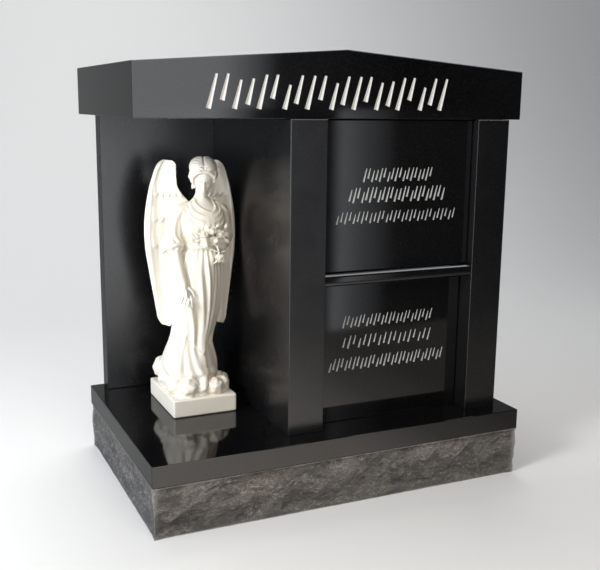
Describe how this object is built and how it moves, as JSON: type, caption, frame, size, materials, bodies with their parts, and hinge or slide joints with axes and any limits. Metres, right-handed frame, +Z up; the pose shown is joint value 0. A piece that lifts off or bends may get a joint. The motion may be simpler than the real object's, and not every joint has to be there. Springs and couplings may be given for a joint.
{
  "type": "granite cremation monument",
  "caption": "Black granite cremation monument with closed urn niches under a gabled roof, beside an open alcove that holds a white marble angel, on a rock-pitched base.",
  "frame": {"origin": "middle of the underside of the rock base", "axes": "+Z up, -Y towards the front with the engraved doors and the alcove, +X to the right seen from the front"},
  "size_m": [1.234, 0.799, 1.3359],
  "materials": {
    "polished_black_granite": "mirror polished near-black granite with frosted engraved strokes",
    "rock_pitched_granite": "rough rock-pitched dark granite with light flecks",
    "cast_white_marble": "fine matt cream-white cast marble"
  },
  "bodies": {
    "root": {"rock_base": "rock_pitched_granite", "plinth_slab": "polished_black_granite", "back_wall": "polished_black_granite", "niche_wall_left": "polished_black_granite", "niche_wall_right": "polished_black_granite", "niche_shelf": "polished_black_granite", "lower_niche_door": "polished_black_granite", "upper_niche_door": "polished_black_granite", "roof_cap": "polished_black_granite", "angel_statue": "cast_white_marble"}
  },
  "joints": []
}
